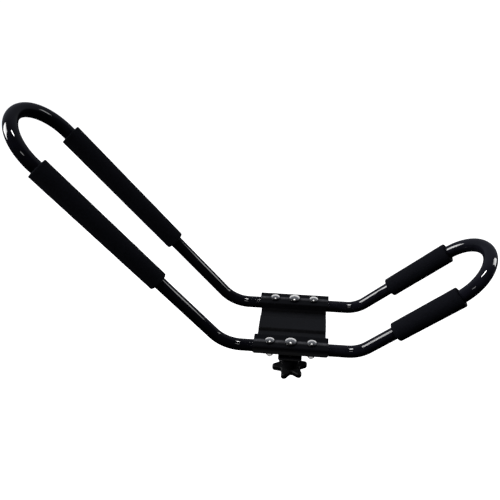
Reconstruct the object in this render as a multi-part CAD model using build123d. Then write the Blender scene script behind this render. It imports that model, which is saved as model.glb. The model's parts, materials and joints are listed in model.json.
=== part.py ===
from build123d import *
from dataclasses import dataclass
import math
import os

# J style kayak carrier, in millimetres.
# The origin is the middle of the rubber seat's underside, where the crossbar bears.
# +X runs along the crossbar towards the short arm, +Z is up, and the two legs of
# each arm stand at -Y (front) and +Y (rear).

# Bent tubes
TUBE_OD = 19.05
TUBE_WALL = 1.5
LEG_SPACING = 107.5

LONG_CORNER = 102.7
LONG_ANGLE = 51.7
LONG_BEND = 53.5
LONG_REACH = 349.8

SHORT_CORNER = 104.0
SHORT_ANGLE = 43.65
SHORT_BEND = 42.5
SHORT_REACH = 165.3

# Joint between the two tubes: the short tube's ends are drawn down to plug into the long one
JOINT_X = 8.0
JOINT_GAP = 0.5
PLUG_CLEARANCE = 0.15
PLUG_LENGTH = 32.0
PLUG_SHOULDER = 4.0

# Saddle plate, one formed sheet
PLATE_T = 2.5
SADDLE_LENGTH = 114.0
WEB_LENGTH = 107.3
SADDLE_CLEARANCE = 3.0
FORM_RADIUS = 1.0
CREASE_HALF = 3.5
CREASE_RISE = 0.8
CREASE_RADIUS = 6.0
WALL_RUN = 8.8
SKIRT_DEPTH = 13.8
SKIRT_CORNER = 3.0
LAND_DEPTH = 8.15
LAND_WIDTH = 30.0
LAND_RISE = 3.5

# Rubber seat glued under the plate's raised land
SEAT_T = 4.5
SEAT_LENGTH = 98.0
SEAT_WIDTH = 24.0
SEAT_CORNER = 3.0

# Foam sleeves
FOAM_OD = 30.0
FOAM_CLEARANCE = 0.2
FOAM_EDGE = 1.5
LONG_FOAM_START = 142.9
LONG_FOAM_LENGTH = 203.2
LONG_FOAM_SLIP = 1.0
SHORT_FOAM_START = 66.1
SHORT_FOAM_LENGTH = 101.6
SHORT_FOAM_SLIP = 0.5

# Tube bolts and lock nuts, quarter inch
BOLT_PITCH = 32.2
TUBE_BOLT_D = 6.35
TUBE_BOLT_LENGTH = 31.75
TUBE_HEAD_D = 14.8
TUBE_HEAD_H = 3.6
NUT_FLATS = 11.1
NUT_HEX_H = 5.6
NUT_COLLAR_D = 9.6
NUT_COLLAR_H = 2.3
NUT_CLEARANCE = 0.05

# Clamp bolts, five sixteenths of an inch
CLAMP_BOLT_D = 7.94
CLAMP_BOLT_LENGTH = 69.85
CLAMP_HEAD_D = 18.0
CLAMP_HEAD_H = 4.4

# Shared by both kinds of bolt
HOLE_CLEARANCE = 0.3
NECK_CLEARANCE = 0.15
NECK_SHORT = 0.2
HEAD_RIM = 0.7
BOLT_TIP = 0.8

# Clamp strap and washers
STRAP_WIDTH = 36.5
STRAP_T = 3.2
STRAP_OVERHANG = 15.0
STRAP_CORNER = 3.0
STRAP_EDGE = 0.6
STRAP_GAP = 0.3
SLOT_WIDTH = 11.0
SLOT_LENGTH = 23.5
WASHER_OD = 17.5
WASHER_T = 1.6

# Star knobs
KNOB_RADIUS = 27.8
KNOB_LOBES = 6
KNOB_TURN = 10.4
KNOB_HEIGHT = 29.5
LOBE_TIP = 4.8
LOBE_ROOT = 12.0
LOBE_NOTCH = 4.0
LOBE_T = 9.6
LOBE_EDGE = 2.2
HUB_TOP_RADIUS = 13.2
HUB_FOOT_RADIUS = 14.2
KNOB_BORE_CLEARANCE = 0.5
INSERT_OD = 12.0
INSERT_LENGTH = 16.0
INSERT_CLEARANCE = 0.05

# Levels and places that follow from the sizes above
TUBE_R = TUBE_OD / 2
LEG_Y = LEG_SPACING / 2
LAND_TOP = SEAT_T + PLATE_T
FLOOR_TOP = LAND_TOP - LAND_RISE
CREST = LAND_TOP + LAND_DEPTH
CREASE_SLOPE = math.atan2(CREASE_RISE, CREASE_HALF)
PEAK = CREST + CREASE_RADIUS * (1 / math.cos(CREASE_SLOPE) - 1)
SHOULDER = PEAK - CREASE_RISE
TUBE_Z = PEAK - (PLATE_T + TUBE_R) / math.cos(CREASE_SLOPE)
SADDLE_HALF = TUBE_R + SADDLE_CLEARANCE + PLATE_T
STRAP_TOP = TUBE_Z - TUBE_R - STRAP_GAP
WASHER_TOP = STRAP_TOP - STRAP_T
KNOB_TOP = WASHER_TOP - WASHER_T
LEGS = {"front": -1, "rear": 1}


@dataclass
class Arm:
    """One bent tube: side is its direction along X, angle its slope above the base in degrees."""

    side: int
    corner: float
    angle: float
    bend: float
    reach: float


LONG_ARM = Arm(-1, LONG_CORNER, LONG_ANGLE, LONG_BEND, LONG_REACH)
SHORT_ARM = Arm(1, SHORT_CORNER, SHORT_ANGLE, SHORT_BEND, SHORT_REACH)


def leg_point(arm, along, y):
    """Point of the arm's sloping plane, a distance along from the corner."""
    slope = math.radians(arm.angle)
    x = arm.side * (arm.corner + along * math.cos(slope))
    return Vector(x, y, TUBE_Z + along * math.sin(slope))


def leg_run(arm, y, base_x):
    """Centreline of one leg: base, corner bend and straight, up to the U bend."""
    set_back = arm.bend * math.tan(math.radians(arm.angle) / 2)
    bend_start = Vector(arm.side * (arm.corner - set_back), y, TUBE_Z)
    bend_end = leg_point(arm, set_back, y)
    base = Line((base_x, y, TUBE_Z), bend_start)
    bend = TangentArc(bend_start, bend_end, tangent=(arm.side, 0, 0))
    straight = Line(bend_end, leg_point(arm, arm.reach, y))
    return [base, bend, straight]


def u_bend(arm, y):
    """Half circle that joins the two legs, starting from the leg at y."""
    crown = leg_point(arm, arm.reach + LEG_Y, 0)
    return ThreePointArc(leg_point(arm, arm.reach, y), crown, leg_point(arm, arm.reach, -y))


def ring(outer, inner):
    return Circle(outer) - Circle(inner)


def bent_tube(arm, base_x):
    """Hollow tube along both legs of an arm, open at base_x."""
    edges = leg_run(arm, -LEG_Y, base_x) + [u_bend(arm, -LEG_Y)] + leg_run(arm, LEG_Y, base_x)
    path = Wire(edges)
    start = Plane(origin=(base_x, -LEG_Y, TUBE_Z), z_dir=(arm.side, 0, 0))
    return sweep(start * ring(TUBE_R, TUBE_R - TUBE_WALL), path=path)


def upright(diameter, x, y):
    """Drill through one tube leg, top and bottom."""
    return Pos(x, y, TUBE_Z) * Cylinder(diameter / 2, 2 * TUBE_OD)


def drill_legs(tube, places):
    for x, diameter in places:
        for sign in LEGS.values():
            tube -= upright(diameter + 2 * HOLE_CLEARANCE, x, sign * LEG_Y)
    return tube


def long_arm_tube():
    tube = bent_tube(LONG_ARM, JOINT_X)
    return drill_legs(tube, [(-BOLT_PITCH, TUBE_BOLT_D), (0, CLAMP_BOLT_D)])


def tube_plug(y, shoulder_x):
    """Drawn-down end of a short arm leg: a cone, then a thin plug for the long arm's bore."""
    outer = TUBE_R - TUBE_WALL - PLUG_CLEARANCE
    plug_start = shoulder_x - PLUG_SHOULDER
    plug_end = plug_start - PLUG_LENGTH
    outline = Polyline(
        (shoulder_x, TUBE_R),
        (plug_start, outer),
        (plug_end, outer),
        (plug_end, outer - TUBE_WALL),
        (plug_start, outer - TUBE_WALL),
        (shoulder_x, TUBE_R - TUBE_WALL),
        close=True,
    )
    section = Plane(origin=(0, y, TUBE_Z), x_dir=(1, 0, 0), z_dir=(0, -1, 0))
    return revolve(section * make_face(outline), axis=Axis((0, y, TUBE_Z), (1, 0, 0)))


def short_arm_tube():
    shoulder_x = JOINT_X + JOINT_GAP + PLUG_SHOULDER
    tube = bent_tube(SHORT_ARM, shoulder_x)
    for sign in LEGS.values():
        tube += tube_plug(sign * LEG_Y, shoulder_x)
    return drill_legs(tube, [(BOLT_PITCH, TUBE_BOLT_D), (0, CLAMP_BOLT_D)])


def plate_section():
    """Section of the formed sheet across the legs, from its top line.

    Each saddle is creased along its bolts, and the tube bears on the crease's two flanks.
    """
    outer_bend = FORM_RADIUS + PLATE_T
    wall_in, wall_out = LEG_Y - SADDLE_HALF, LEG_Y + SADDLE_HALF
    half = [
        (LAND_WIDTH / 2, LAND_TOP),
        (LAND_WIDTH / 2 + LAND_RISE, FLOOR_TOP),
        (wall_in - WALL_RUN, FLOOR_TOP),
        (wall_in, SHOULDER),
        (LEG_Y - CREASE_HALF, SHOULDER),
        (LEG_Y, PEAK),
        (LEG_Y + CREASE_HALF, SHOULDER),
        (wall_out, SHOULDER),
        (wall_out, CREST - SKIRT_DEPTH),
    ]
    land_bends = [outer_bend, FORM_RADIUS, FORM_RADIUS]
    half_bends = land_bends + [outer_bend, *[CREASE_RADIUS] * 3, outer_bend]
    points = [(-y, z) for y, z in reversed(half)] + half
    top_line = FilletPolyline(*points, radius=half_bends[::-1] + half_bends)
    return make_face(offset(top_line, amount=PLATE_T, side=Side.RIGHT))


def neck_width(diameter):
    return diameter + 2 * NECK_CLEARANCE


def bolt_places():
    """Place and diameter of every bolt, as (name, x, y, diameter)."""
    places = []
    for leg, sign in LEGS.items():
        places.append((f"tube_bolt_long_{leg}", -BOLT_PITCH, sign * LEG_Y, TUBE_BOLT_D))
        places.append((f"tube_bolt_short_{leg}", BOLT_PITCH, sign * LEG_Y, TUBE_BOLT_D))
        places.append((f"clamp_bolt_{leg}", 0, sign * LEG_Y, CLAMP_BOLT_D))
    return places


def saddle_plate():
    plate = extrude(Plane.YZ * plate_section(), amount=SADDLE_LENGTH / 2, both=True)
    wall_in = LEG_Y - SADDLE_HALF
    notch = (SADDLE_LENGTH - WEB_LENGTH) / 2
    for side in (-1, 1):
        notch_x = side * (WEB_LENGTH + notch) / 2
        plate -= Pos(notch_x, 0, LAND_TOP) * Box(notch, 2 * wall_in, 4 * LAND_DEPTH)
    for _, x, y, diameter in bolt_places():
        width = neck_width(diameter)
        plate -= Pos(x, y, CREST) * Box(width, width, 3 * PLATE_T)
    skirt_ends = plate.edges().filter_by(Axis.Y).group_by(lambda e: abs(e.center().Y))[-1]
    return fillet(skirt_ends, SKIRT_CORNER)


def seat_pad():
    outline = RectangleRounded(SEAT_LENGTH, SEAT_WIDTH, SEAT_CORNER)
    return extrude(outline, amount=SEAT_T)


def foam_sleeve(arm, sign, start, length):
    """Foam tube over one leg, which may run on into the start of the U bend."""
    y = sign * LEG_Y
    first = leg_point(arm, start, y)
    straight_end = min(start + length, arm.reach)
    edges = [Line(first, leg_point(arm, straight_end, y))]
    extra = start + length - straight_end
    if extra > 0:
        bend = u_bend(arm, y)
        edges.append(bend.trim(0, extra / bend.length))
    path = Wire(edges)
    uphill = leg_point(arm, 1, y) - leg_point(arm, 0, y)
    section = Plane(origin=first, z_dir=uphill) * ring(FOAM_OD / 2, TUBE_R + FOAM_CLEARANCE)
    sleeve = sweep(section, path=path)
    rims = sleeve.edges().filter_by(GeomType.CIRCLE)
    rims = rims.filter_by(lambda e: e.is_closed and abs(e.radius - FOAM_OD / 2) < FOAM_EDGE / 2)
    ends = [rims.sort_by_distance(path @ 0)[0], rims.sort_by_distance(path @ 1)[0]]
    return fillet(ends, FOAM_EDGE)


def carriage_bolt(diameter, length, head_d, head_h):
    """Domed head above z = 0, square neck and plain shank below."""
    rim = min(HEAD_RIM, head_h / 2)
    outline = [
        Line((0, 0), (head_d / 2, 0)),
        Line((head_d / 2, 0), (head_d / 2, rim)),
        TangentArc((0, head_h), (head_d / 2, rim), tangent=(1, 0)),
        Line((0, head_h), (0, 0)),
    ]
    head = revolve(Plane.XZ * make_face(outline), axis=Axis.Z)
    neck_h = PLATE_T - NECK_SHORT
    neck = Pos(0, 0, -neck_h / 2) * Box(diameter, diameter, neck_h)
    shank = Pos(0, 0, -length / 2) * Cylinder(diameter / 2, length)
    tip = shank.edges().group_by(Axis.Z)[0]
    return head + neck + chamfer(tip, BOLT_TIP)


def lock_nut():
    """Hexagon nut hung below z = 0 with the round collar of its locking ring underneath."""
    hexagon = RegularPolygon(NUT_FLATS / 2, 6, major_radius=False)
    body = extrude(hexagon, amount=-NUT_HEX_H)
    corner_r = NUT_FLATS / math.sqrt(3)
    bevel = corner_r - NUT_FLATS / 2
    rounding = Pos(0, 0, -NUT_HEX_H / 2) * Cylinder(corner_r, NUT_HEX_H)
    body &= chamfer(rounding.edges().filter_by(GeomType.CIRCLE), bevel * 0.5, bevel)
    collar = Pos(0, 0, -NUT_HEX_H - NUT_COLLAR_H / 2) * Cylinder(NUT_COLLAR_D / 2, NUT_COLLAR_H)
    collar = fillet(collar.edges().group_by(Axis.Z)[0], NUT_COLLAR_H / 2)
    bore = Cylinder(TUBE_BOLT_D / 2 + NUT_CLEARANCE, 4 * NUT_FLATS)
    return body + collar - bore


def clamp_strap():
    length = LEG_SPACING + 2 * STRAP_OVERHANG
    outline = RectangleRounded(STRAP_WIDTH, length, STRAP_CORNER)
    for sign in LEGS.values():
        outline -= Pos(0, sign * LEG_Y) * SlotOverall(SLOT_LENGTH, SLOT_WIDTH, rotation=90)
    strap = extrude(outline, amount=-STRAP_T)
    top = strap.faces().sort_by(Axis.Z)[-1]
    return Pos(0, 0, STRAP_TOP) * fillet(top.edges(), STRAP_EDGE)


def washer():
    return extrude(ring(WASHER_OD / 2, CLAMP_BOLT_D / 2 + HOLE_CLEARANCE), amount=-WASHER_T)


def star_outline():
    """Tapered lobes round the hub, with rounded notches between them."""
    star = Sketch()
    for index in range(KNOB_LOBES):
        tip = Pos(KNOB_RADIUS - LOBE_TIP, 0) * Circle(LOBE_TIP)
        lobe = make_hull(Circle(LOBE_ROOT).edges() + tip.edges())
        star += Rot(0, 0, KNOB_TURN + index * 360 / KNOB_LOBES) * lobe
    notches = star.vertices().group_by(lambda v: round(Vector(v).length, 1))[0]
    return fillet(notches, LOBE_NOTCH)


def star_knob():
    """Star grip hung below z = 0: a tapered hub with the lobes at its foot."""
    lobes = Pos(0, 0, -KNOB_HEIGHT) * extrude(star_outline(), amount=LOBE_T)
    faces = lobes.faces().sort_by(Axis.Z)
    lobes = fillet(faces[0].edges() + faces[-1].edges(), LOBE_EDGE)
    hub_h = KNOB_HEIGHT - LOBE_T / 2
    hub = Pos(0, 0, -hub_h / 2) * Cone(HUB_FOOT_RADIUS, HUB_TOP_RADIUS, hub_h)
    pocket = Pos(0, 0, -INSERT_LENGTH / 2) * Cylinder(INSERT_OD / 2, INSERT_LENGTH)
    bore = Cylinder(CLAMP_BOLT_D / 2 + KNOB_BORE_CLEARANCE, 3 * KNOB_HEIGHT)
    return lobes + hub - pocket - bore


def knob_insert():
    section = ring(INSERT_OD / 2, CLAMP_BOLT_D / 2 + INSERT_CLEARANCE)
    return extrude(section, amount=-INSERT_LENGTH)


def all_pieces():
    pieces = {
        "long_arm_tube": long_arm_tube(),
        "short_arm_tube": short_arm_tube(),
        "saddle_plate": saddle_plate(),
        "seat_pad": seat_pad(),
        "clamp_strap": clamp_strap(),
    }
    for leg, sign in LEGS.items():
        long_start = LONG_FOAM_START + sign * LONG_FOAM_SLIP
        short_start = SHORT_FOAM_START + sign * SHORT_FOAM_SLIP
        pieces[f"foam_long_{leg}"] = foam_sleeve(LONG_ARM, sign, long_start, LONG_FOAM_LENGTH)
        pieces[f"foam_short_{leg}"] = foam_sleeve(SHORT_ARM, sign, short_start, SHORT_FOAM_LENGTH)
        pieces[f"washer_{leg}"] = Pos(0, sign * LEG_Y, WASHER_TOP) * washer()
        pieces[f"star_knob_{leg}"] = Pos(0, sign * LEG_Y, KNOB_TOP) * star_knob()
        pieces[f"knob_insert_{leg}"] = Pos(0, sign * LEG_Y, KNOB_TOP) * knob_insert()
    for name, x, y, diameter in bolt_places():
        if diameter == CLAMP_BOLT_D:
            bolt = carriage_bolt(CLAMP_BOLT_D, CLAMP_BOLT_LENGTH, CLAMP_HEAD_D, CLAMP_HEAD_H)
        else:
            bolt = carriage_bolt(TUBE_BOLT_D, TUBE_BOLT_LENGTH, TUBE_HEAD_D, TUBE_HEAD_H)
            nut_name = name.replace("bolt", "nut")
            pieces[nut_name] = Pos(x, y, TUBE_Z - TUBE_R) * lock_nut()
        pieces[name] = Pos(x, y, CREST) * bolt
    return pieces


def main():
    os.makedirs("parts", exist_ok=True)
    for name, shape in all_pieces().items():
        export_step(shape, f"parts/{name}.step")


main()
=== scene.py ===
# %% [markdown]
# # A J style kayak carrier, dressed in Blender
# The carrier clamps onto a roof bar and holds a kayak on its side between a long arm
# and a short arm. Both arms are bent from painted steel tube and wear foam sleeves.
# The solid pieces arrive from the packed model and stay exactly where they are. This
# lesson adds what the solids leave out: round smooth tube, soft foam, cut threads and
# the finishes, then sets the light and the camera.

# %% Load the packed carrier
import json
import math
import bmesh
import bpy
from mathutils import Matrix, Vector

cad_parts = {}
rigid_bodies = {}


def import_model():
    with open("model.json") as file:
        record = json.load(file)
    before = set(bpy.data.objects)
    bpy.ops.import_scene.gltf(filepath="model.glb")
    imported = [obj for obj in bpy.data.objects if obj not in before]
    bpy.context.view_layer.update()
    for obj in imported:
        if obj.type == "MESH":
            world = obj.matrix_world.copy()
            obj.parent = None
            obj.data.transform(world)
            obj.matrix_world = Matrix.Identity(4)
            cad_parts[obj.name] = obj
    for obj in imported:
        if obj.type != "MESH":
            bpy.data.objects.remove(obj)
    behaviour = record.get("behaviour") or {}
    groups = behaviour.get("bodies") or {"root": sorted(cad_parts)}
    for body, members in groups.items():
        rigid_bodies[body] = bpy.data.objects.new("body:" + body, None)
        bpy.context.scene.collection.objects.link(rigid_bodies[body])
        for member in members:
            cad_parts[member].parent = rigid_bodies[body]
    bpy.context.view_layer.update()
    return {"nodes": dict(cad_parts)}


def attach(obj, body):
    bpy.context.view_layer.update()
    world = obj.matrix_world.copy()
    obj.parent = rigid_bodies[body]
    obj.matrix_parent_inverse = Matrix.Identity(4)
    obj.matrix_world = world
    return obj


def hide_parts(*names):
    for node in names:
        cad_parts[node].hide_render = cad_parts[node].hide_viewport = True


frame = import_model()
nodes = frame["nodes"]

# %% [markdown]
# ## A few sizes to share
# Blender works in metres, and workshop drawings in millimetres, so every size below is
# written in millimetres and multiplied once. The tube's size comes first, because the
# foam, the saddle and the bolts all follow from it. Each arm is given by the corner where
# its legs leave the base, the slope and the bend there, and the reach up to the U.

# %% Sizes of the tube and its bends
MM = 0.001
TUBE_RADIUS = 9.525 * MM
TUBE_WALL = 1.5 * MM
TUBE_HEIGHT = 2.97 * MM
LEG_OFFSET = 53.75 * MM
ARMS = {
    "long": dict(side=-1, corner=102.7 * MM, slope=51.7, bend=53.5 * MM, reach=349.8 * MM),
    "short": dict(side=1, corner=104.0 * MM, slope=43.65, bend=42.5 * MM, reach=165.3 * MM),
}


def leg_point(arm, along, y):
    """Point on a leg's centre line, measured up the slope from the corner."""
    slope = math.radians(arm["slope"])
    x = arm["side"] * (arm["corner"] + along * math.cos(slope))
    return Vector((x, y, TUBE_HEIGHT + along * math.sin(slope)))


for name, arm in ARMS.items():
    crown = leg_point(arm, arm["reach"] + LEG_OFFSET, 0)
    print(name, "arm's crown at", [round(v, 3) for v in crown])

# %% [markdown]
# ## Building materials from nodes
# A material is a small graph: textures on the left, one shader on the right. All the
# textures here read Object coordinates. Every piece sits at the origin with its place in
# its mesh, so a metre in the texture is a metre on the carrier, and a grain of 0.5 mm
# is simply a noise of scale 2000.

# %% Helpers for a finish and its grain
def new_finish(name, **sockets):
    """A material with a Principled shader whose plain values are set on its own sockets."""
    material = bpy.data.materials.new(name)
    material.use_nodes = True
    tree = material.node_tree
    shader = tree.nodes["Principled BSDF"]
    for socket, value in sockets.items():
        shader.inputs[socket.replace("_", " ")].default_value = value
    tree.nodes.new("ShaderNodeTexCoord").name = "place"
    return material, tree, shader


def place(tree):
    """Where a point lies on the carrier, in metres."""
    return tree.nodes["place"].outputs["Object"]


def grain(tree, scale, detail=2.0, rough=0.5):
    """Noise in metres: scale is how many lumps there are to a metre."""
    noise = tree.nodes.new("ShaderNodeTexNoise")
    noise.inputs["Scale"].default_value = scale
    noise.inputs["Detail"].default_value = detail
    noise.inputs["Roughness"].default_value = rough
    tree.links.new(place(tree), noise.inputs["Vector"])
    return noise.outputs["Fac"]


def figure(tree, operation, *values):
    """One sum on numbers, where linked sockets vary over the surface."""
    node = tree.nodes.new("ShaderNodeMath")
    node.operation = operation
    for socket, value in zip(node.inputs, values):
        if isinstance(value, bpy.types.NodeSocket):
            tree.links.new(value, socket)
        else:
            socket.default_value = value
    return node.outputs[0]


print("helpers for a finish and its grain are ready")

# %% [markdown]
# A noise texture seldom strays outside the range from 0.3 to 0.7. The helpers below stretch that
# range over the numbers or the colours that are wanted, so a finish can be given by its two
# extremes. Relief has a depth in metres, like everything else here.

# %% Helpers for colour, roughness and relief
NOISE_LOW, NOISE_HIGH = 0.3, 0.7


def between(tree, factor, low, high):
    """A number that follows a texture from low to high."""
    spread = tree.nodes.new("ShaderNodeMapRange")
    spread.inputs["From Min"].default_value = NOISE_LOW
    spread.inputs["From Max"].default_value = NOISE_HIGH
    spread.inputs["To Min"].default_value = low
    spread.inputs["To Max"].default_value = high
    tree.links.new(factor, spread.inputs["Value"])
    return spread.outputs["Result"]


def tint(tree, factor, dark, light):
    """A colour that follows a texture from dark to light."""
    ramp = tree.nodes.new("ShaderNodeValToRGB")
    ends = ramp.color_ramp.elements
    ends[0].position, ends[1].position = NOISE_LOW, NOISE_HIGH
    ends[0].color, ends[1].color = (*dark, 1), (*light, 1)
    tree.links.new(factor, ramp.inputs["Fac"])
    return ramp.outputs["Color"]


def blend(tree, factor, first, second):
    """A colour that goes from a linked colour to a plain one."""
    mix = tree.nodes.new("ShaderNodeMix")
    mix.data_type = "RGBA"
    mix.inputs["B"].default_value = (*second, 1)
    tree.links.new(factor, mix.inputs["Factor"])
    tree.links.new(first, mix.inputs["A"])
    return mix.outputs["Result"]


def colour(tree, shader, factor, dark, light):
    """Base colour that follows a texture."""
    tree.links.new(tint(tree, factor, dark, light), shader.inputs["Base Color"])


def roughen(tree, shader, factor, low, high):
    """Roughness that follows a texture."""
    tree.links.new(between(tree, factor, low, high), shader.inputs["Roughness"])


def relief(tree, shader, height, depth, after=None):
    """Bump of a real depth in metres, which may lie on top of an earlier bump."""
    bump = tree.nodes.new("ShaderNodeBump")
    bump.inputs["Distance"].default_value = depth
    tree.links.new(height, bump.inputs["Height"])
    if after:
        tree.links.new(after, bump.inputs["Normal"])
    tree.links.new(bump.outputs["Normal"], shader.inputs["Normal"])
    return bump.outputs["Normal"]


print("helpers for colour, roughness and relief are ready")

# %% [markdown]
# ## Black paint
# The arms wear a gloss powder coat: nearly mirror-smooth, with the faint orange peel that
# powder leaves as it melts. A low roughness gives the thin bright lines along the tube, and
# a bump of less than a thousandth of a millimetre makes those lines waver as real ones do.

# %% Gloss black coat
gloss_black, tree, shader = new_finish("gloss_black_coat", Specular_IOR_Level=0.3)
peel = grain(tree, 420, 1.0)
colour(tree, shader, grain(tree, 60), (0.0030, 0.0030, 0.0048), (0.0050, 0.0050, 0.0078))
roughen(tree, shader, grain(tree, 150), 0.03, 0.05)
relief(tree, shader, peel, 0.0007 * MM)
print("paint on the arms:", gloss_black.name)

# %% [markdown]
# The saddle plate and the strap wear a duller coat, so their lights are wide and soft. The two
# saddles over the tubes shine less than the land between them, because they stand proud and take
# the scuffs. A painted highlight runs along the two creases that carry the bolts: a light grey band
# in the base colour that stands for the lamps mirrored in the crest. A mask could be painted by
# hand, but both marks follow from where a point lies: its height tells saddle from land, and its
# distance from the crease fades the painted highlight, which the grain breaks up.

# %% Satin black coat
LAND_SHINE, SADDLE_SHINE = 0.5, 0.2
SADDLE_FOOT, CREST_FOOT = 8 * MM, 13 * MM
HIGHLIGHT_REACH = 4 * MM
satin_black, tree, shader = new_finish("satin_black_coat", Specular_IOR_Level=LAND_SHINE)
peel = grain(tree, 700, 2.0)
spot = tree.nodes.new("ShaderNodeSeparateXYZ")
tree.links.new(place(tree), spot.inputs[0])
off_middle = figure(tree, "ABSOLUTE", spot.outputs["Y"])
off_crease = figure(tree, "ABSOLUTE", figure(tree, "SUBTRACT", off_middle, LEG_OFFSET))
on_crest = figure(tree, "GREATER_THAN", spot.outputs["Z"], CREST_FOOT)
on_saddle = figure(tree, "GREATER_THAN", spot.outputs["Z"], SADDLE_FOOT)
nearness = figure(tree, "SUBTRACT", 1, figure(tree, "DIVIDE", off_crease, HIGHLIGHT_REACH))
# painted highlight: a light grey band along each crease, standing for the lamps mirrored in the
# crest
crest_highlight = figure(tree, "MAXIMUM", figure(tree, "MULTIPLY", nearness, on_crest), 0)
crest_highlight = figure(tree, "MULTIPLY", crest_highlight, between(tree, grain(tree, 130, 3.0), 0.45, 1.0))
paint = tint(tree, grain(tree, 80), (0.0018, 0.0018, 0.0030), (0.0030, 0.0030, 0.0050))
paint_and_highlight = blend(tree, crest_highlight, paint, (0.17, 0.17, 0.185))
shine = figure(tree, "MULTIPLY_ADD", on_saddle, SADDLE_SHINE - LAND_SHINE, LAND_SHINE)
tree.links.new(paint_and_highlight, shader.inputs["Base Color"])
tree.links.new(shine, shader.inputs["Specular IOR Level"])
roughen(tree, shader, grain(tree, 220), 0.34, 0.42)
relief(tree, shader, peel, 0.008 * MM)
print("paint on the plate and the strap:", satin_black.name)

# %% [markdown]
# ## Foam
# The sleeves are closed-cell foam rubber. It has no gloss, a slightly blue black, and a skin
# of tiny cells about a millimetre across with finer pores between them. A Voronoi texture
# gives the cells, because its distance field dips at each cell's middle like a burst bubble.

# %% Foam finish
CELLS_TO_A_METRE = 900
foam_black, tree, shader = new_finish("cell_foam", Specular_IOR_Level=0.12, Roughness=0.92)
cells = tree.nodes.new("ShaderNodeTexVoronoi")
cells.inputs["Scale"].default_value = CELLS_TO_A_METRE
tree.links.new(place(tree), cells.inputs["Vector"])
colour(tree, shader, grain(tree, 350, 4.0), (0.0030, 0.0033, 0.0056), (0.0050, 0.0056, 0.0094))
cell_bump = relief(tree, shader, cells.outputs["Distance"], 0.10 * MM)
relief(tree, shader, grain(tree, 2600, 3.0, 0.6), 0.05 * MM, after=cell_bump)
print("foam:", foam_black.name)

# %% [markdown]
# ## Fasteners, knob and seat
# Zinc plating is a soft mirror with a cloudy bloom, so its colour and roughness drift. The
# thread tree further down stores how deep each point lies in the thread, and the plating is
# painted darker there, as painted shade in the thread's grooves.

# %% Zinc plating
THREAD_SHADE = (0.12, 0.12, 0.12)
zinc, tree, shader = new_finish("bright_zinc", Metallic=1.0)
cloud = tint(tree, grain(tree, 300, 3.0), (0.68, 0.67, 0.66), (0.80, 0.79, 0.77))
depth = tree.nodes.new("ShaderNodeAttribute")
depth.attribute_name = "thread_depth"
# painted shade: the plating turns dark grey where the thread's groove is deep
plating_and_painted_shade = blend(tree, depth.outputs["Fac"], cloud, THREAD_SHADE)
tree.links.new(plating_and_painted_shade, shader.inputs["Base Color"])
roughen(tree, shader, grain(tree, 500, 3.0), 0.16, 0.23)
relief(tree, shader, grain(tree, 1500, 2.0), 0.001 * MM)
print("plating:", zinc.name)

# %% [markdown]
# The knobs are moulded in a spark-eroded tool, which leaves an even fine grain. Their inserts are
# turned brass, the seat is plain rubber, and the rings in the lock nuts are pale nylon. Each needs
# only a colour and a roughness that drift a little, and the moulded ones a relief.

# %% Plastic, brass, rubber and nylon
knob_black, tree, shader = new_finish("moulded_black", Specular_IOR_Level=0.4)
colour(tree, shader, grain(tree, 120), (0.0012, 0.0012, 0.0020), (0.0022, 0.0022, 0.0034))
roughen(tree, shader, grain(tree, 400), 0.48, 0.60)
relief(tree, shader, grain(tree, 2400, 2.0, 0.7), 0.03 * MM)

brass, tree, shader = new_finish("turned_brass", Metallic=1.0)
colour(tree, shader, grain(tree, 400), (0.60, 0.44, 0.18), (0.74, 0.57, 0.27))
roughen(tree, shader, grain(tree, 900), 0.22, 0.36)

seat_rubber, tree, shader = new_finish("ribbed_rubber", Specular_IOR_Level=0.3)
colour(tree, shader, grain(tree, 200, 3.0), (0.007, 0.007, 0.007), (0.012, 0.012, 0.012))
roughen(tree, shader, grain(tree, 700), 0.66, 0.80)
relief(tree, shader, grain(tree, 1800, 3.0), 0.03 * MM)

nylon, tree, shader = new_finish("lock_ring_nylon", Specular_IOR_Level=0.5)
colour(tree, shader, grain(tree, 500), (0.52, 0.54, 0.56), (0.66, 0.68, 0.70))
roughen(tree, shader, grain(tree, 900), 0.35, 0.5)
print("finishes:", [finish.name for finish in (knob_black, brass, seat_rubber, nylon)])

# %% [markdown]
# ## Painting the solids
# The saddle plate, strap, knobs, inserts, washers and nuts already have their true shape, so
# they only need a finish. Their meshes are left alone. The tubes, sleeves, bolts and seat get a
# finish too, though finer pieces replace them below.

# %% Finish the solids
FINISH_OF = {
    "saddle_plate": satin_black,
    "clamp_strap": satin_black,
    "seat_pad": seat_rubber,
    "washer": zinc,
    "tube_nut": zinc,
    "tube_bolt": zinc,
    "clamp_bolt": zinc,
    "star_knob": knob_black,
    "knob_insert": brass,
    "long_arm_tube": gloss_black,
    "short_arm_tube": gloss_black,
    "foam": foam_black,
}
for name, solid in nodes.items():
    finish = next(f for start, f in FINISH_OF.items() if name.startswith(start))
    solid.data.materials.clear()
    solid.data.materials.append(finish)
print("finished", len(nodes), "solids")

# %% [markdown]
# ## Geometry Nodes by hand
# A Geometry Nodes tree is a recipe: sizes go in on the left, a mesh comes out on the right.
# Trees can be drawn in the node editor, but a script shows every step in order, and the same
# few steps serve for tubes, sleeves and bolts. The class below adds a node, joins the sockets
# it is given and sets the plain values, so a short line of script is a node.

# %% A class that writes node trees
WELD = 0.002 * MM


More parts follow.
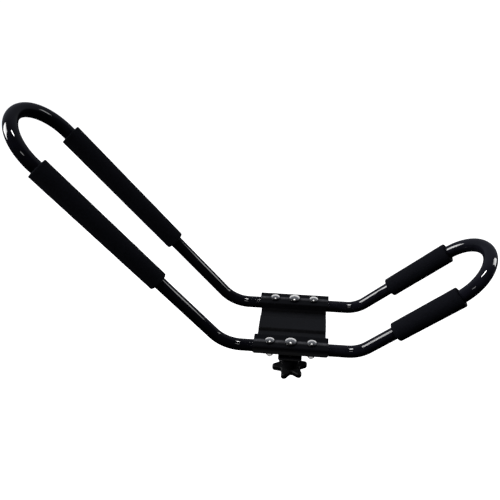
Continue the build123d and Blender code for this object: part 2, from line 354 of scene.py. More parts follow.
class Recipe:
    """A Geometry Nodes tree in the making, with named inputs for its sizes."""

    def __init__(self, name, *sizes):
        self.group = bpy.data.node_groups.new(name, "GeometryNodeTree")
        face = self.group.interface
        face.new_socket("Geometry", in_out="INPUT", socket_type="NodeSocketGeometry")
        for label in sizes:
            face.new_socket(label, in_out="INPUT", socket_type="NodeSocketFloat")
        face.new_socket("Geometry", in_out="OUTPUT", socket_type="NodeSocketGeometry")
        self.size = self.group.nodes.new("NodeGroupInput").outputs

    def add(self, kind, *values, out=0, **settings):
        """One node. Values fill its inputs in order: sockets are linked, None is skipped."""
        node = self.group.nodes.new(kind)
        for key, value in settings.items():
            setattr(node, key, value)
        for socket, value in zip([s for s in node.inputs if s.enabled], values):
            if isinstance(value, bpy.types.NodeSocket):
                self.group.links.new(value, socket)
            elif value is not None:
                socket.default_value = value
        return node.outputs[out]

    def math(self, operation, *values):
        """A sum on numbers."""
        return self.add("ShaderNodeMath", *values, operation=operation)

    def vector(self, operation, *values):
        """A sum on directions or places."""
        return self.add("ShaderNodeVectorMath", *values, operation=operation)

    def scale(self, vector, factor):
        """A direction made longer or shorter by a linked number."""
        scaled = self.vector("SCALE", vector)
        self.group.links.new(factor, scaled.node.inputs["Scale"])
        return scaled

    def xyz(self, x, y, z):
        """A direction or place from three numbers."""
        return self.add("ShaderNodeCombineXYZ", x, y, z)

    def part(self, vector, axis):
        """One of the three numbers of a direction or place."""
        return self.add("ShaderNodeSeparateXYZ", vector, out="XYZ".index(axis))

    def place(self):
        """Where each point lies."""
        return self.add("GeometryNodeInputPosition")

    def mark(self, label, kind="FLOAT"):
        """What was marked on the points under a label."""
        return self.add("GeometryNodeInputNamedAttribute", label, data_type=kind)

    def circle(self, sides, radius):
        """A circle whose radius follows a linked number."""
        ring = self.add("GeometryNodeCurvePrimitiveCircle", sides)
        self.group.links.new(radius, ring.node.inputs["Radius"])
        return ring

    def fillet(self, curve, steps, radius):
        """Roll each corner of a curve to a radius."""
        return self.add("GeometryNodeFilletCurve", curve, steps, radius, True, mode="POLY")

    def join(self, *shells):
        """Several meshes as one."""
        whole = self.add("GeometryNodeJoinGeometry")
        for shell in shells:
            self.group.links.new(shell, whole.node.inputs[0])
        return whole

    def weld(self, geometry):
        """Merge the points that lie on one another."""
        return self.add("GeometryNodeMergeByDistance", geometry, None, WELD)

    def finish(self, geometry, material):
        """Realize the instances, shade smooth, give the finish and end the tree."""
        real = self.add("GeometryNodeRealizeInstances", geometry)
        smooth = self.add("GeometryNodeSetShadeSmooth", real)
        done = self.add("GeometryNodeSetMaterial", smooth, None, material)
        end = self.group.nodes.new("NodeGroupOutput")
        self.group.links.new(done, end.inputs[0])


print("recipe steps:", [step for step in vars(Recipe) if not step.startswith("_")])

# %% [markdown]
# ## Cooking a recipe
# A modifier could stay on the object, but a cooked mesh is one that other programs can read. So
# the recipe runs once, with its sizes set by name, and the plain mesh is kept. It is measured at
# once: a closed piece has no open edges, and its volume is positive when its faces look outward.

# %% Cook a recipe
SMOOTH_ANGLE = math.radians(38)
CUBIC_MM = 1e9


def cook(name, start_mesh, recipe, sizes, body, stands_for, wall=0.0):
    """Run a recipe on a mesh and keep the result as a plain mesh that rides on a body."""
    piece = bpy.data.objects.new(name, start_mesh)
    bpy.context.scene.collection.objects.link(piece)
    modifier = piece.modifiers.new("recipe", "NODES")
    modifier.node_group = recipe.group
    for item in recipe.group.interface.items_tree:
        if item.in_out == "INPUT" and item.name in sizes:
            modifier[item.identifier] = sizes[item.name]
    if wall:
        shell = piece.modifiers.new("wall", "SOLIDIFY")
        shell.thickness, shell.offset = wall, -1
    bpy.context.view_layer.update()
    graph = bpy.context.evaluated_depsgraph_get()
    baked = bpy.data.meshes.new_from_object(piece.evaluated_get(graph))
    piece.modifiers.clear()
    piece.data = baked
    baked.name = name
    baked.set_sharp_from_angle(angle=SMOOTH_ANGLE)
    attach(piece, body)
    if stands_for:
        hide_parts(*stands_for)
    work = bmesh.new()
    work.from_mesh(baked)
    open_edges = sum(1 for edge in work.edges if not edge.is_manifold)
    print(name, "faces:", len(baked.polygons), "open edges:", open_edges,
          "volume mm3:", round(work.calc_volume(signed=True) * CUBIC_MM))
    work.free()
    return piece


print("ready to cook")

# %% [markdown]
# Most recipes start from a route: a chain of straight edges, with marks on its points that the
# recipe can read back, such as how sharply to bend there. Long straight runs are cut into short
# steps, so that faces stay near to square and later bending has points to move.

# %% Routes for the recipes to follow
def route_mesh(name, points, **marks):
    """A chain of straight edges, with numbers or directions marked on its points."""
    mesh = bpy.data.meshes.new(name)
    mesh.from_pydata(points, [(i, i + 1) for i in range(len(points) - 1)], [])
    for label, values in marks.items():
        if isinstance(values[0], Vector):
            marked = mesh.attributes.new(label, "FLOAT_VECTOR", "POINT").data
            marked.foreach_set("vector", [part for value in values for part in value])
        else:
            mesh.attributes.new(label, "FLOAT", "POINT").data.foreach_set("value", values)
    return mesh


def seed_mesh():
    """A short edge to start a recipe that needs no route."""
    return route_mesh("seed", [(0, 0, 0), (0, 0, MM)])


def fine_steps(recipe, curve, step):
    """Cut the long segments of a curve into steps of about the same length."""
    onward = recipe.add("GeometryNodeOffsetPointInCurve", None, 1, out=1)
    after = recipe.add("GeometryNodeFieldAtIndex", recipe.place(), onward,
                       data_type="FLOAT_VECTOR")
    gap = recipe.add("ShaderNodeVectorMath", recipe.place(), after, operation="DISTANCE", out=1)
    cuts = recipe.math("FLOOR", recipe.math("DIVIDE", gap, step))
    return recipe.add("GeometryNodeSubdivideCurve", curve, cuts)


print("route helpers ready")

# %% [markdown]
# ## The two bent arms
# Each arm is one length of three quarter inch tube, bent at two corners and again into a U.
# It could be a bevelled curve object, but a bender works from straight runs and bend radii,
# and so does this tree: a chain of straight edges comes in, Fillet Curve rolls each corner to
# the radius marked on its point, and Curve to Mesh draws a circle along it. The short arm's
# ends are swaged down to plug into the long arm, which is only a smaller scale on those points.

# %% Recipe for a bent tube
BEND_STEPS, TUBE_SIDES = 64, 80
RUN_STEP = 6 * MM
tube = Recipe("bent_tube", "Tube Diameter", "Flattening")
route = tube.add("GeometryNodeMeshToCurve", tube.size["Geometry"])
bend, swage = tube.mark("bend"), tube.mark("swage")
rolled = fine_steps(tube, tube.fillet(route, BEND_STEPS, bend), RUN_STEP)
circle = tube.circle(TUBE_SIDES, tube.math("MULTIPLY", tube.size["Tube Diameter"], 0.5))
rolled = tube.add("GeometryNodeStoreNamedAttribute", rolled, None, "middle", tube.place(),
                  data_type="FLOAT_VECTOR", domain="POINT")
drawn = tube.add("GeometryNodeCurveToMesh", rolled, circle, swage)
print("tube recipe so far:", len(tube.group.nodes), "nodes")

# %% [markdown]
# Tube that is bent over a plain former flattens where it is bent hardest, so the crown of each U
# is pressed in along the legs: most at its top, and not at all where the legs begin. The amount
# follows a parabola across the U, and each point moves by its own depth along the legs.

# %% Flatten the crown
press, middle = tube.mark("press", "FLOAT_VECTOR"), tube.mark("middle", "FLOAT_VECTOR")
aside = tube.math("DIVIDE", tube.part(middle, "Y"), bend)
parabola = tube.math("SUBTRACT", tube.math("MULTIPLY", aside, aside), 1)
squash = tube.math("MULTIPLY", tube.size["Flattening"], parabola)
from_middle = tube.vector("SUBTRACT", tube.place(), middle)
depth = tube.add("ShaderNodeVectorMath", from_middle, press, operation="DOT_PRODUCT", out=1)
push = tube.scale(press, tube.math("MULTIPLY", depth, squash))
tube.finish(tube.add("GeometryNodeSetPosition", drawn, None, None, push), gloss_black)
print("tube recipe nodes:", len(tube.group.nodes))

# %% [markdown]
# Both arms now come from one recipe and two routes. Half a route is written down, from the joint
# under the plate to the U's corner, and mirrored for the other leg. A Solidify modifier gives the
# tube its wall, so its open ends are hollow.

# %% Bend the arms
JOINT = 8.0 * MM
PLUG_LENGTH, PLUG_SLACK = 31.5 * MM, 0.15 * MM
SHOULDER_FOOT, SHOULDER_TOP = 0.5 * MM, 4.5 * MM
PLUG = (TUBE_RADIUS - TUBE_WALL - PLUG_SLACK) / TUBE_RADIUS
ENDS = {
    "long": [(JOINT, 1)],
    "short": [(JOINT - PLUG_LENGTH, PLUG), (JOINT + SHOULDER_FOOT, PLUG),
              (JOINT + SHOULDER_TOP, 1)],
}
FLATTENING = {"long": 0.16, "short": 0.05}


def arm_route(name):
    """Straight runs of one arm, front end to rear end, with each point's bend, swage and press."""
    arm = ARMS[name]
    free, up_leg = Vector(), leg_point(arm, 1, 0) - leg_point(arm, 0, 0)
    half = [(Vector((x, -LEG_OFFSET, TUBE_HEIGHT)), 0, swage, free) for x, swage in ENDS[name]]
    half.append((leg_point(arm, 0, -LEG_OFFSET), arm["bend"], 1, free))
    top = leg_point(arm, arm["reach"] + LEG_OFFSET, -LEG_OFFSET)
    half.append((top, LEG_OFFSET, 1, up_leg))
    rear = [(Vector((p.x, -p.y, p.z)), *marks) for p, *marks in reversed(half)]
    points, bends, swages, presses = zip(*(half + rear))
    return route_mesh(name + "_route", points, bend=bends, swage=swages, press=presses)


for name, flattening in FLATTENING.items():
    sizes = {"Tube Diameter": 2 * TUBE_RADIUS, "Flattening": flattening}
    cook(name + "_arm", arm_route(name), tube, sizes,
         "carrier_frame", [name + "_arm_tube"], wall=TUBE_WALL)

# %% [markdown]
# ## Foam sleeves
# The sleeves are lengths of foam pipe pushed over the legs, so the kayak's hull never meets
# the paint. A sleeve could be a bent cylinder, but its cut ends matter most: they are rounded
# over and show the foam's thickness. Here a flat rectangle with filleted corners is the wall's
# section, and a grid is rolled round it, one column to each point.

# %% Recipe for a sleeve
SLEEVE_SIDES, U_STEPS, END_STEPS = 64, 48, 6
FOAM_STEP = 2.5 * MM


def rolled_section(recipe, section, sides, closed):
    """A grid with a column for each point of a section. Gives grid, section spot and angle."""
    count = recipe.add("GeometryNodeAttributeDomainSize", section, component="CURVE")
    columns = recipe.math("ADD", count, 1 if closed else 0)
    grid = recipe.add("GeometryNodeMeshGrid", 1, 1, columns, sides + 1)
    index = recipe.add("GeometryNodeInputIndex")
    column = recipe.math("FLOOR", recipe.math("DIVIDE", index, sides + 1))
    wrapped = recipe.math("MODULO", column, count)
    spot = recipe.add("GeometryNodeSampleIndex", section, recipe.place(), wrapped,
                      data_type="FLOAT_VECTOR", domain="POINT")
    turn = recipe.math("MULTIPLY", recipe.math("MODULO", index, sides + 1), 2 * math.pi / sides)
    return recipe.add("GeometryNodeFlipFaces", grid), spot, turn


sleeve = Recipe("foam_sleeve", "Start", "Length", "Outer Diameter", "Bore", "End Rounding",
                "U Radius", "Lumps", "Seed")
size = sleeve.size
leg = sleeve.add("GeometryNodeMeshToCurve", size["Geometry"])
leg = sleeve.fillet(leg, U_STEPS, size["U Radius"])
two_walls = sleeve.math("SUBTRACT", size["Outer Diameter"], size["Bore"])
thickness = sleeve.math("MULTIPLY", two_walls, 0.5)
wall = sleeve.add("GeometryNodeCurvePrimitiveQuadrilateral", thickness, size["Length"])
wall = fine_steps(sleeve, sleeve.fillet(wall, END_STEPS, size["End Rounding"]), FOAM_STEP)
grid, spot, turn = rolled_section(sleeve, wall, SLEEVE_SIDES, closed=True)
print("sleeve recipe so far:", len(sleeve.group.nodes), "nodes")

# %% [markdown]
# Sample Curve then lays every point along the leg, so a sleeve that reaches the U bend bends with
# it. A slow noise lifts the outside by a fraction of a millimetre, as on foam fitted by hand. The
# noise is read on a ring of radius one, so that it meets itself after a full turn.

# %% Lay the sleeve along its leg
LUMPS_ALONG, LUMP_SCALE, LUMP_DETAIL = 45, 1.3, 1.0
both = sleeve.math("ADD", size["Outer Diameter"], size["Bore"])
middle = sleeve.math("MULTIPLY", both, 0.25)
outward = sleeve.part(spot, "X")
half_length = sleeve.math("MULTIPLY", size["Length"], 0.5)
along = sleeve.math("ADD", sleeve.math("ADD", sleeve.part(spot, "Y"), size["Start"]), half_length)
lump_spot = sleeve.xyz(sleeve.math("COSINE", turn), sleeve.math("SINE", turn),
                       sleeve.math("MULTIPLY_ADD", along, LUMPS_ALONG, size["Seed"]))
lump = sleeve.add("ShaderNodeTexNoise", lump_spot, LUMP_SCALE, LUMP_DETAIL)
lump = sleeve.math("SUBTRACT", lump, 0.5)
share = sleeve.math("ADD", sleeve.math("DIVIDE", outward, thickness), 0.5)
swell = sleeve.math("MULTIPLY", sleeve.math("MULTIPLY", lump, size["Lumps"]), share)
radius = sleeve.math("ADD", sleeve.math("ADD", outward, middle), swell)
on_leg = sleeve.add("GeometryNodeSampleCurve", leg, None, along,
                    mode="LENGTH", use_all_curves=True, out=1)
along_leg, out_of_leg = on_leg.node.outputs["Tangent"], on_leg.node.outputs["Normal"]
across = sleeve.vector("CROSS_PRODUCT", along_leg, out_of_leg)


def round_about(recipe, middle, first, second, radius, turn):
    """The point at a radius and turn in the plane of two directions."""
    side = recipe.scale(first, recipe.math("MULTIPLY", radius, recipe.math("COSINE", turn)))
    rise = recipe.scale(second, recipe.math("MULTIPLY", radius, recipe.math("SINE", turn)))
    return recipe.vector("ADD", middle, recipe.vector("ADD", side, rise))


ring_point = round_about(sleeve, on_leg, out_of_leg, across, radius, turn)
laid = sleeve.add("GeometryNodeSetPosition", grid, None, ring_point)
sleeve.finish(sleeve.weld(laid), foam_black)
print("sleeve recipe nodes:", len(sleeve.group.nodes))

# %% [markdown]
# Four sleeves are cut from the same pipe, 8 in long for the long arm and 4 in for the short one.
# Pushed on by hand, the front and rear ones don't sit quite level, which is the slip.

# %% Push the sleeves on
SEED_STEP = 3.7
FOAM = {"Outer Diameter": 30.0 * MM, "Bore": 19.45 * MM, "End Rounding": 1.5 * MM,
        "U Radius": LEG_OFFSET, "Lumps": 0.5 * MM}
SLEEVES = {
    "long": dict(start=142.9 * MM, slip=1.0 * MM, length=203.2 * MM),
    "short": dict(start=66.1 * MM, slip=0.5 * MM, length=101.6 * MM),
}
for name, cut in SLEEVES.items():
    reach = ARMS[name]["reach"] + LEG_OFFSET
    for number, (leg_name, side) in enumerate({"front": -1, "rear": 1}.items()):
        y = side * LEG_OFFSET
        round_the_u = ((0, y), (reach, y), (reach, -y), (0, -y))
        points = [leg_point(ARMS[name], up, aside) for up, aside in round_the_u]
        sizes = dict(FOAM, Start=cut["start"] + side * cut["slip"], Length=cut["length"],
                     Seed=SEED_STEP * number)
        piece = cook(f"sleeve_{name}_{leg_name}", route_mesh("leg", points), sleeve, sizes,
                     "carrier_frame", [f"foam_{name}_{leg_name}"])

# %% [markdown]
# ## Carriage bolts with real threads
# Six carriage bolts hold the carrier: a domed head, a square neck that stops it turning, and a
# threaded shank. A thread could be a bump texture, but the clamp bolts stand bare below the
# knobs, where the outline should show its teeth. So the bolt's outline is rolled up like the
# sleeve's section, and the radius dips wherever the height, less the turn, falls in a groove.
# That makes the groove climb by one pitch for each turn, right-handed as on any shop bolt.

# %% Recipe for a bolt
BOLT_SIDES = 32
STEP_TO_PITCH = 0.14
bolt = Recipe("carriage_bolt", "Pitch", "Groove", "Thread Top", "Thread End", "Neck Foot",
              "Head Seat", "Row Spread", "Row Count", "Leg Offset")
size = bolt.size
outline = bolt.add("GeometryNodeMeshToCurve", size["Geometry"])
outline = fine_steps(bolt, outline, bolt.math("MULTIPLY", size["Pitch"], STEP_TO_PITCH))
grid, spot, turn = rolled_section(bolt, outline, BOLT_SIDES, closed=False)
radius, height = bolt.part(spot, "X"), bolt.part(spot, "Y")


def inside(recipe, value, low, high):
    """One where a value lies between two limits, and nought elsewhere."""
    above = recipe.math("GREATER_THAN", value, low)
    return recipe.math("MULTIPLY", above, recipe.math("LESS_THAN", value, high))


pitches_up = bolt.math("DIVIDE", height, size["Pitch"])
climb = bolt.math("SUBTRACT", pitches_up, bolt.math("DIVIDE", turn, 2 * math.pi))
wave = bolt.math("ABSOLUTE", bolt.math("MULTIPLY_ADD", bolt.math("FRACT", climb), 2, -1))
threaded = inside(bolt, height, size["Thread End"], size["Thread Top"])
groove = bolt.math("MULTIPLY", bolt.math("SUBTRACT", 1, wave), threaded)
print("bolt recipe so far:", len(bolt.group.nodes), "nodes")

# %% [markdown]
# On the neck the circle is stretched to a square: the further a point lies from the middle of a
# flat, the further out it moves. The groove's depth is stored on each point, where the zinc reads
# it to paint shade into the groove. The finished bolt is then set out in a row on each leg by
# Instance on Points.

# %% Square neck, thread and rows of bolts
HEAD_FOOT = -0.01 * MM
flat = bolt.math("MAXIMUM", bolt.math("ABSOLUTE", bolt.math("COSINE", turn)),
                 bolt.math("ABSOLUTE", bolt.math("SINE", turn)))
on_neck = inside(bolt, height, size["Neck Foot"], HEAD_FOOT)
bulge = bolt.math("SUBTRACT", bolt.math("DIVIDE", 1, flat), 1)
stretch = bolt.math("ADD", 1, bolt.math("MULTIPLY", on_neck, bulge))
radius = bolt.math("SUBTRACT", bolt.math("MULTIPLY", radius, stretch),
                   bolt.math("MULTIPLY", groove, size["Groove"]))
# the groove's depth, which the zinc reads to paint shade into the groove
marked = bolt.add("GeometryNodeStoreNamedAttribute", grid, None, "thread_depth", groove,
                  data_type="FLOAT", domain="POINT")
turned = round_about(bolt, bolt.xyz(0, 0, height), (1, 0, 0), (0, 1, 0), radius, turn)
shaped = bolt.weld(bolt.add("GeometryNodeSetPosition", marked, None, turned))


def in_rows(recipe, geometry):
    """The same piece at each place of a row, and the row on both legs."""
    size = recipe.size
    step = recipe.xyz(size["Row Spread"], 0, 0)
    half_back = recipe.math("MULTIPLY", recipe.math("SUBTRACT", size["Row Count"], 1), -0.5)
    first = recipe.scale(step, half_back)
    row = recipe.add("GeometryNodeMeshLine", size["Row Count"], first, step)
    row = recipe.add("GeometryNodeInstanceOnPoints", row, None, geometry)
    front = recipe.xyz(0, recipe.math("MULTIPLY", size["Leg Offset"], -1), size["Head Seat"])
    to_rear = recipe.xyz(0, recipe.math("MULTIPLY", size["Leg Offset"], 2), 0)
    legs = recipe.add("GeometryNodeMeshLine", 2, front, to_rear)
    return recipe.add("GeometryNodeInstanceOnPoints", legs, None, row)


bolt.finish(in_rows(bolt, shaped), zinc)
print("bolt recipe nodes:", len(bolt.group.nodes))

# %% [markdown]
# What is left is the outline that the recipe turns: a bevelled tip, the shank, the neck and the
# head. The head is a shallow dome, an arc of a large circle, whose rim is rounded by an arc of a
# small one. The two arcs meet in one direction, so no edge shows in the highlights.

# %% Outline of a bolt
NECK = 2.3 * MM
EDGE, TIP = 0.12 * MM, 0.8 * MM
DOME_LEAN, RIM_SHARE = math.radians(34), 0.065
RIM_STEPS, DOME_STEPS = 4, 16


def bolt_outline(name, diameter, length, head_diameter, head_height):
    """Half a bolt as (radius, height) points, from the tip's middle up to the dome's crown."""
    shank, reach = diameter / 2, head_diameter / 2
    points = [(0, -length), (shank - TIP, -length), (shank, TIP - length), (shank, -NECK - EDGE),
              (shank, -NECK + EDGE), (shank, -2 * EDGE), (shank, 0), (reach - EDGE, 0),
              (reach, EDGE)]
    rim, level = RIM_SHARE * reach, math.radians(90)
    dome = (reach - rim) / math.sin(DOME_LEAN) + rim
    rim_radius = (dome - rim) * math.sin(DOME_LEAN)
    rim_height = head_height - dome + (dome - rim) * math.cos(DOME_LEAN)
    for step in range(RIM_STEPS + 1):
        tilt = level + (DOME_LEAN - level) * step / RIM_STEPS
        points.append((rim_radius + rim * math.sin(tilt), rim_height + rim * math.cos(tilt)))
    for step in range(1, DOME_STEPS + 1):
        tilt = DOME_LEAN * (1 - step / DOME_STEPS)
        points.append((dome * math.sin(tilt), head_height - dome * (1 - math.cos(tilt))))
    return route_mesh(name, [(r, h, 0) for r, h in points])


print("head's rim rises", round(math.degrees(DOME_LEAN)), "degrees to its dome")

# %% [markdown]
# Quarter inch bolts with 20 threads to the inch go through the tubes, two in each row. The clamp
# bolts are 5/16 in with 18 threads, one in the middle of each row. All hang from the crest of the
# saddles.

# %% Turn the six bolts
CREST = 15.15 * MM
BOLT_SPREAD = 64.4 * MM
GROOVE_TO_PITCH = 0.54
THREAD_STOP = 0.5 * MM
BOLTS = {
    "tube_bolts": dict(
        shape=dict(diameter=6.35 * MM, length=31.75 * MM,
                   head_diameter=13.8 * MM, head_height=3.6 * MM),
        pitch=1.27 * MM, top=-12 * MM, count=2, spread=BOLT_SPREAD,
        nodes=[f"tube_bolt_{arm}_{leg}" for arm in ("long", "short") for leg in ("front", "rear")]),
    "clamp_bolts": dict(
        shape=dict(diameter=7.94 * MM, length=69.85 * MM,
                   head_diameter=16.9 * MM, head_height=4.4 * MM),
        pitch=25.4 / 18 * MM, top=-20 * MM, count=1, spread=0,
        nodes=["clamp_bolt_front", "clamp_bolt_rear"]),
}
for name, plan in BOLTS.items():
    sizes = {"Pitch": plan["pitch"], "Groove": GROOVE_TO_PITCH * plan["pitch"],
             "Thread Top": plan["top"], "Thread End": THREAD_STOP - plan["shape"]["length"],
             "Neck Foot": -NECK, "Head Seat": CREST, "Row Count": plan["count"],
             "Row Spread": plan["spread"], "Leg Offset": LEG_OFFSET}
    cook(name, bolt_outline(name, **plan["shape"]), bolt, sizes,
         "carrier_frame", plan["nodes"])

# %% [markdown]
# ## Lock rings in the nuts
# The tube bolts end in lock nuts, whose collars hold a ring of nylon that grips the thread. Four
# rings are four copies of one small shape, so they go on the same rows as the bolts.

# %% Nylon rings
RING_SIDES, RING_STEPS, RING_ROUNDING = 48, 4, 0.3
NUT_HEIGHT, RING_LIFT = 7.9 * MM, 0.25 * MM
ring = Recipe("lock_ring", "Ring Radius", "Ring Width", "Head Seat", "Row Spread", "Row Count",
              "Leg Offset")
width = ring.size["Ring Width"]
circle = ring.circle(RING_SIDES, ring.size["Ring Radius"])
section = ring.add("GeometryNodeCurvePrimitiveQuadrilateral", width, width)
section = ring.fillet(section, RING_STEPS, ring.math("MULTIPLY", width, RING_ROUNDING))
ring.finish(in_rows(ring, ring.add("GeometryNodeCurveToMesh", circle, section)), nylon)
nut_foot = TUBE_HEIGHT - TUBE_RADIUS - NUT_HEIGHT
sizes = {"Ring Radius": 3.62 * MM, "Ring Width": 0.7 * MM, "Head Seat": nut_foot + RING_LIFT,
         "Row Spread": BOLT_SPREAD, "Row Count": 2, "Leg Offset": LEG_OFFSET}
cook("lock_rings", seed_mesh(), ring, sizes, "carrier_frame", None)

# %% [markdown]
# ## The rubber seat
# Rubber glued under the plate's land bears on the crossbar. Its underside is out of sight in the
# photograph, so it gets what such seats have: a slab with half-round ribs that grip the bar. The
# slab is a filleted rectangle, filled and drawn up.

# %% Slab of the seat
CORNER_STEPS = 8
seat = Recipe("ribbed_seat", "Seat Length", "Seat Width", "Seat Height", "Rib Radius",
              "Rib Pitch", "Rib Count", "Corner")
size = seat.size
plan = seat.add("GeometryNodeCurvePrimitiveQuadrilateral", size["Seat Length"], size["Seat Width"])
plan = seat.fillet(plan, CORNER_STEPS, size["Corner"])
slab = seat.add("GeometryNodeFillCurve", plan, mode="NGONS")
slab_depth = seat.math("SUBTRACT", size["Seat Height"], size["Rib Radius"])
slab_top = seat.add("GeometryNodeExtrudeMesh", slab, None, (0, 0, 1), slab_depth, False,
                    mode="FACES")
block = seat.weld(seat.join(slab_top, seat.add("GeometryNodeFlipFaces", slab)))
lift = seat.xyz(0, 0, size["Rib Radius"])
block = seat.add("GeometryNodeSetPosition", block, None, None, lift)
print("seat recipe so far:", len(seat.group.nodes), "nodes")

# %% [markdown]
# One rib is a circle drawn along a short line, and Instance on Points repeats it under the slab.
# The ribs run across the bar, so they resist its sliding.

# %% Ribs under the seat
RIB_SIDES = 24
RIB_MARGIN = 1.5 * MM
rib_end = seat.math("MULTIPLY_ADD", size["Seat Width"], 0.5, -RIB_MARGIN)
rib_start = seat.math("MULTIPLY", rib_end, -1)
rib_line = seat.add("GeometryNodeCurvePrimitiveLine", seat.xyz(0, rib_start, 0),
                    seat.xyz(0, rib_end, 0))
circle = seat.circle(RIB_SIDES, size["Rib Radius"])
rib = seat.add("GeometryNodeCurveToMesh", rib_line, circle, 1.0, True)
rib_step = seat.xyz(size["Rib Pitch"], 0, 0)
rib_span = seat.math("MULTIPLY", size["Rib Pitch"], seat.math("SUBTRACT", size["Rib Count"], 1))
rib_first = seat.xyz(seat.math("MULTIPLY", rib_span, -0.5), 0, size["Rib Radius"])
rib_places = seat.add("GeometryNodeMeshLine", size["Rib Count"], rib_first, rib_step)
ribs = seat.add("GeometryNodeInstanceOnPoints", rib_places, None, rib)
seat.finish(seat.join(block, ribs), seat_rubber)
sizes = {"Seat Length": 98 * MM, "Seat Width": 24 * MM, "Seat Height": 4.5 * MM,
         "Rib Radius": 1.5 * MM, "Rib Pitch": 5 * MM, "Rib Count": 19, "Corner": 3 * MM}
piece = cook("rubber_seat", seed_mesh(), seat, sizes, "carrier_frame", ["seat_pad"])

# %% [markdown]
# ## The floor and the light
# Product pictures like this are lit by soft boxes at the sides and overhead, with the
# background blown out to white. The floor glows just enough to read as white, and is kept
# out of the reflections, so the black paint mirrors only the lamps.

# %% Floor
FLOOR_SIZE, FLOOR_DROP = 60, 0.45
bpy.ops.mesh.primitive_plane_add(size=FLOOR_SIZE, location=(0, 0, 0))
floor = bpy.context.object
floor.name = "floor"
for corner in floor.data.vertices:
    corner.co.z = -FLOOR_DROP
floor_white, tree, shader = new_finish("floor_white", Roughness=0.9, Emission_Strength=1.0)
shader.inputs["Emission Color"].default_value = (1, 1, 1, 1)
colour(tree, shader, grain(tree, 2), (0.82, 0.82, 0.82), (0.86, 0.86, 0.86))
floor.data.materials.append(floor_white)
floor.visible_glossy = False
floor.visible_diffuse = False
print("floor at", floor.data.vertices[0].co.z)

# %% [markdown]
# Gloss black paint shows little but the lamps that it mirrors. On a tube a lamp becomes one thin
# streak, so each streak in the photograph stands for a lamp: the streak's place gives the lamp's
# direction, and its length the lamp's width. Oval lamps give streaks that taper. A wider lamp
# should make a longer streak and not a brighter one, so the helper is given the glow, and works
# out the watts from the lamp's area.

# %% A lamp that faces the carrier
AIM = Vector((0, 0, 0.12))


def soft_box(name, azimuth, elevation, distance, width, height, glow, aim=AIM, shape="RECTANGLE"):
    """A flat lamp that faces a point. glow is its brightness, whatever its size."""
    a, e = math.radians(azimuth), math.radians(elevation)
    out = Vector((math.sin(a) * math.cos(e), math.cos(a) * math.cos(e), math.sin(e)))
    data = bpy.data.lights.new(name, "AREA")
    data.shape = shape
    data.size, data.size_y = width, height
    area = width * height * (math.pi / 4 if shape == "ELLIPSE" else 1)
    data.energy = glow * math.pi * area
    lamp = bpy.data.objects.new(name, data)
    bpy.context.scene.collection.objects.link(lamp)
    lamp.location = aim + out * distance
    lamp.rotation_euler = out.to_track_quat("Z", "Y").to_euler()
    lamp.visible_camera = False
    return lamp


print("lamps face", list(AIM))

# %% [markdown]
# The lamps stand a little over two metres off. Those at the sides draw the long lines on the legs
# and the U bends. Those overhead draw the short spots on the base of the tubes, and one in front
# of them repeats each spot more faintly. The short arm's overhead lamp hangs further over the long
# arm, where its U would mirror it.

# %% Lamps at the sides and overhead
FAR = 2.2
OVER_PLATE, OVER_LONG_ARM = Vector((-0.055, 0, 0.12)), Vector((-0.175, 0, 0.12))
left_boxes = [
    soft_box("left_box", -59, 20.5, FAR, 0.5, 0.30, 22),
    soft_box("left_low_box", -80, 26, FAR, 0.35, 0.30, 3),
]
rim_box = soft_box("rim_box", -107, 36, FAR, 0.4, 1.0, 20)
right_box = soft_box("right_box", 70, 17.5, FAR, 0.9, 0.3, 8)
foam_boxes = [
    soft_box("top_box", 0, 87, FAR, 0.48, 0.25, 30, OVER_PLATE),
    soft_box("top_front_box", 180, 58, FAR, 0.48, 0.25, 8, OVER_PLATE),
]
long_arm_boxes = [
    soft_box("long_arm_box", -88, 28, FAR, 0.7, 1.2, 18),
    soft_box("long_top_box", 0, 87, FAR, 0.46, 0.28, 80, OVER_PLATE, "ELLIPSE"),
]
short_arm_boxes = [
    soft_box("short_left_box", -84, 25.5, FAR, 1.2, 0.82, 24),
    soft_box("short_top_box", 0, 87, FAR, 0.7, 0.32, 80, OVER_LONG_ARM, "ELLIPSE"),
    soft_box("short_right_box", 71, 27, FAR, 0.6, 1.3, 12),
]
arm_front_box = soft_box("arm_front_box", 180, 46, FAR, 0.46, 0.28, 8, OVER_PLATE, "ELLIPSE")
bolt_box = soft_box("bolt_box", 0, 87, FAR, 0.7, 0.4, 4, OVER_PLATE, "ELLIPSE")

# %% [markdown]
# Bright metal shows whatever stands round it, so a photographer holds small white cards near it
# and shades them from the rest. The back card is what the bolt heads mirror in their upper halves,
# and the front card lights the nuts below. A fainter card at the front does the same for the
# plate's skirt and the strap. The fill card stands low behind the carrier, where the camera hardly
# meets it, and shows the roundness of the dull pieces from behind.

# %% Cards near the carrier
back_card = soft_box("back_card", 0, -3, 0.77, 1.5, 0.8, 0.75)
front_card = soft_box("front_card", 180, -43, 1.0, 0.8, 0.5, 0.5)
skirt_card = soft_box("skirt_card", 180, -43, 1.0, 0.8, 0.5, 0.15)
fill_card = soft_box("fill_card", 0, -36, 0.66, 1.3, 0.4, 2.5)
print("cards:", [card.name for card in (back_card, front_card, skirt_card, fill_card)])

# %% [markdown]
# Several lamps in one tube would break up each other's streaks, so every lamp lights only the
# pieces it is meant for, as flags of black cloth do in a studio. Light linking does the shading: a
# lamp with a receiver collection lights only the pieces in it. Each arm has lamps of its own, and
# so have the foam and the zinc. The plate, the strap, the knobs and the foam share those at the
# sides.

# %% Say which pieces each lamp lights
def wearing(*finishes):
    """The pieces that wear one of the finishes."""
    names = {finish.name for finish in finishes}
    return [piece for piece in bpy.context.scene.objects
            if names & {slot.name for slot in piece.material_slots}]


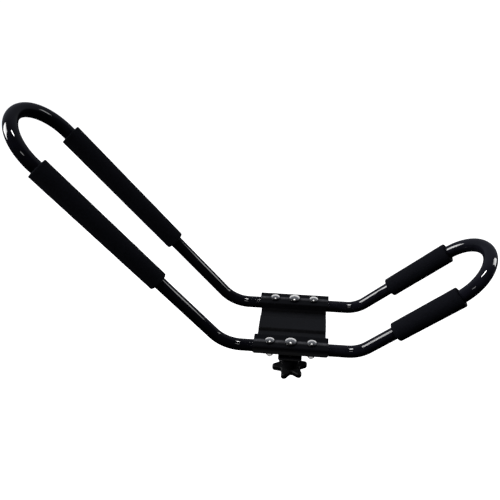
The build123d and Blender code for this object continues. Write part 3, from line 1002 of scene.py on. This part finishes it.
def shine_on(pieces, *lamps):
    """Let lamps light only the given pieces."""
    group = bpy.data.collections.new("lit_by_" + lamps[0].name)
    for piece in pieces:
        group.objects.link(piece)
    for lamp in lamps:
        lamp.light_linking.receiver_collection = group


long_arm, short_arm = bpy.data.objects["long_arm"], bpy.data.objects["short_arm"]
apart = [long_arm, short_arm, *wearing(zinc)]
others = [piece for piece in bpy.context.scene.objects
          if piece.type == "MESH" and piece not in apart]
shine_on([long_arm], *long_arm_boxes)
shine_on([short_arm], *short_arm_boxes)
shine_on(others, *left_boxes, rim_box)
shine_on(others + [long_arm], right_box)
shine_on(wearing(foam_black), *foam_boxes)
shine_on(wearing(gloss_black), arm_front_box)
shine_on(wearing(zinc), bolt_box, back_card, front_card)
shine_on(wearing(satin_black), skirt_card)
shine_on(wearing(satin_black, foam_black, knob_black, seat_rubber), fill_card)

# %% [markdown]
# The room is dim behind and nearly black in front, so the world's glow follows the direction: it
# grows towards the back, and fades below the horizon. The camera itself sees plain white
# everywhere, which the Light Path node tells apart.

# %% World
BACK_GAIN, BACK_START = 1.6, 0.1
UP_GAIN, UP_START = 4.0, 1.0
FRONT_GLOW, BACK_GLOW = 0.01, 0.20
COOL_WHITE, WHITE = (0.82, 0.87, 1.0, 1), (1, 1, 1, 1)
world = bpy.data.worlds.new("studio")
bpy.context.scene.world = world
world.use_nodes = True
tree = world.node_tree
toward = tree.nodes.new("ShaderNodeSeparateXYZ")
tree.links.new(tree.nodes.new("ShaderNodeTexCoord").outputs["Generated"], toward.inputs[0])
backward = figure(tree, "MULTIPLY_ADD", toward.outputs["Y"], BACK_GAIN, BACK_START)
upward = figure(tree, "MULTIPLY_ADD", toward.outputs["Z"], UP_GAIN, UP_START)
glow = tree.nodes.new("ShaderNodeMapRange")
glow.inputs["To Min"].default_value = FRONT_GLOW
glow.inputs["To Max"].default_value = BACK_GLOW
tree.links.new(figure(tree, "MINIMUM", backward, upward), glow.inputs["Value"])
dim, bright = tree.nodes["Background"], tree.nodes.new("ShaderNodeBackground")
dim.inputs["Color"].default_value = COOL_WHITE
bright.inputs["Color"].default_value = WHITE
tree.links.new(glow.outputs["Result"], dim.inputs["Strength"])
seen, either = tree.nodes.new("ShaderNodeLightPath"), tree.nodes.new("ShaderNodeMixShader")
tree.links.new(seen.outputs["Is Camera Ray"], either.inputs["Fac"])
tree.links.new(dim.outputs["Background"], either.inputs[1])
tree.links.new(bright.outputs["Background"], either.inputs[2])
tree.links.new(either.outputs["Shader"], tree.nodes["World Output"].inputs["Surface"])
bpy.context.scene.view_settings.view_transform = "Standard"
print("world nodes:", len(tree.nodes))

# %% [markdown]
# ## The camera
# The camera stands where the photograph was taken from, which was found by fitting the edges of the
# tubes. Its turn is given by three angles and its lens by a distance in pixels, as such fits give
# them. The lens doesn't point at the middle of the picture, so the two shift values move the
# picture instead of the camera.

# %% Camera
YAW, PITCH, ROLL = (math.radians(angle) for angle in (6.291, 42.718, -0.467))
STAND = (0.0146, -0.5902, 0.51498)
FOCAL_PIXELS, PICTURE_PIXELS = 481.825, 500
MIDDLE_PIXEL = (261.6, 339.3)
SENSOR = 36
forward = Vector((-math.sin(YAW) * math.cos(PITCH), math.cos(YAW) * math.cos(PITCH),
                  -math.sin(PITCH)))
level = forward.cross((0, 0, 1)).normalized()
upright = level.cross(forward)
right = level * math.cos(ROLL) + upright * math.sin(ROLL)
up = upright * math.cos(ROLL) - level * math.sin(ROLL)
camera_data = bpy.data.cameras.new("camera")
camera_data.sensor_width = SENSOR
camera_data.lens = SENSOR * FOCAL_PIXELS / PICTURE_PIXELS
camera_data.shift_x = (PICTURE_PIXELS / 2 - MIDDLE_PIXEL[0]) / PICTURE_PIXELS
camera_data.shift_y = (MIDDLE_PIXEL[1] - PICTURE_PIXELS / 2) / PICTURE_PIXELS
camera = bpy.data.objects.new("camera", camera_data)
bpy.context.scene.collection.objects.link(camera)
turn = Matrix((right, up, -forward)).transposed()
camera.matrix_world = Matrix.Translation(STAND) @ turn.to_4x4()
bpy.context.scene.camera = camera
print("lens", round(camera_data.lens, 2), "mm, shift", round(camera_data.shift_x, 4),
      round(camera_data.shift_y, 4))

# %% [markdown]
# ## The dressed pieces and the solids
# A dressed piece should keep to the room of the solid that it replaces, because other tools go by
# the solids.
